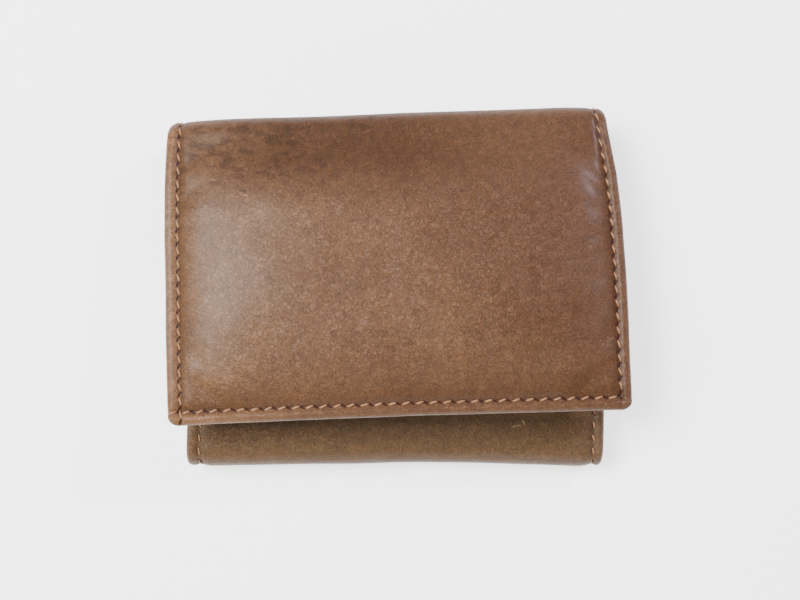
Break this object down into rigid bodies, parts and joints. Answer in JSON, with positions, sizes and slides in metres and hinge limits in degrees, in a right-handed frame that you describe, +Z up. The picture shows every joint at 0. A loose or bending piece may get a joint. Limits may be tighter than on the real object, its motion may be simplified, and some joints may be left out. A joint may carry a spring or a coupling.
{
  "type": "trifold wallet",
  "caption": "Small trifold leather wallet, closed: a padded stitched flap folds down over a tuck panel, with card pockets, an ID window and a bill compartment inside.",
  "frame": {"origin": "middle of the back panel's outer face, midway between the two hinge lines and between the sides at the bottom fold", "axes": "+X runs along the folds, towards the side where the bill compartment and pockets open; +Y runs from the bottom fold to the top fold; +Z points up from the back to the flap"},
  "size_m": [0.1063, 0.0861, 0.0259],
  "materials": {
    "shell_leather": "waxed pull-up leather, soft sheen",
    "tuck_leather": "waxed pull-up leather, duller",
    "inner_leather": "thin smooth leather",
    "lining": "plain woven lining",
    "padding": "felted padding",
    "board": "bonded leather fibre board",
    "film": "clear soft film",
    "thread": "twisted waxed thread"
  },
  "bodies": {
    "back_panel": {"back_leather": "shell_leather", "back_board": "board", "back_lining": "lining", "back_divider": "lining", "card_pocket_front": "inner_leather", "card_pocket_middle": "inner_leather", "card_pocket_rear": "inner_leather", "back_stitching": "thread", "card_pocket_stitching": "thread", "top_lower_bend_leather": "shell_leather", "top_lower_bend_lining": "lining", "top_lower_bend_divider": "lining", "bottom_lower_bend_leather": "shell_leather", "bottom_lower_bend_lining": "lining", "bottom_lower_bend_divider": "lining"},
    "top_spine": {"top_spine_leather": "shell_leather", "top_spine_lining": "lining", "top_spine_divider": "lining", "top_spine_stitching": "thread", "top_upper_bend_leather": "shell_leather", "top_upper_bend_lining": "lining", "top_upper_bend_divider": "lining"},
    "flap": {"flap_leather": "shell_leather", "flap_padding": "padding", "flap_lining": "lining", "flap_divider": "lining", "window_film": "film", "window_frame": "inner_leather", "flap_stitching": "thread", "window_stitching": "thread"},
    "bottom_spine": {"bottom_spine_leather": "shell_leather", "bottom_spine_lining": "lining", "bottom_spine_divider": "lining", "bottom_spine_stitching": "thread", "bottom_upper_bend_leather": "tuck_leather", "bottom_upper_bend_lining": "lining", "bottom_upper_bend_divider": "lining"},
    "tuck_panel": {"tuck_leather": "tuck_leather", "tuck_board": "board", "tuck_lining": "lining", "tuck_divider": "lining", "tuck_pocket_rear": "inner_leather", "tuck_pocket_front": "inner_leather", "tuck_stitching": "thread", "tuck_pocket_stitching": "thread"}
  },
  "joints": [
    {"name": "top_fold_lower", "type": "hinge", "parent": "back_panel", "child": "top_spine", "pos_m": [-0.0016, 0.038, 0.004], "axis": [-0.9994, -0.0349, 0], "range_deg": [0, 90], "deforming": ["top_lower_bend_leather", "top_lower_bend_lining", "top_lower_bend_divider"]},
    {"name": "top_fold_upper", "type": "hinge", "parent": "top_spine", "child": "flap", "pos_m": [-0.0016, 0.038, 0.015], "axis": [-0.9994, -0.0349, 0], "range_deg": [0, 84.01], "deforming": ["top_upper_bend_leather", "top_upper_bend_lining", "top_upper_bend_divider"]},
    {"name": "bottom_fold_lower", "type": "hinge", "parent": "back_panel", "child": "bottom_spine", "pos_m": [0, -0.038, 0.004], "axis": [1, 0, 0], "range_deg": [0, 90.01], "deforming": ["bottom_lower_bend_leather", "bottom_lower_bend_lining", "bottom_lower_bend_divider"]},
    {"name": "bottom_fold_upper", "type": "hinge", "parent": "bottom_spine", "child": "tuck_panel", "pos_m": [0, -0.038, 0.007], "axis": [1, 0, 0], "range_deg": [0, 92.44], "deforming": ["bottom_upper_bend_leather", "bottom_upper_bend_lining", "bottom_upper_bend_divider"]}
  ],
  "couplings": [
    {"joint": "top_fold_upper", "follows": "top_fold_lower", "ratio": 0.93333},
    {"joint": "bottom_fold_lower", "follows": "top_fold_lower", "ratio": 1},
    {"joint": "bottom_fold_upper", "follows": "top_fold_lower", "ratio": 1.0269}
  ]
}
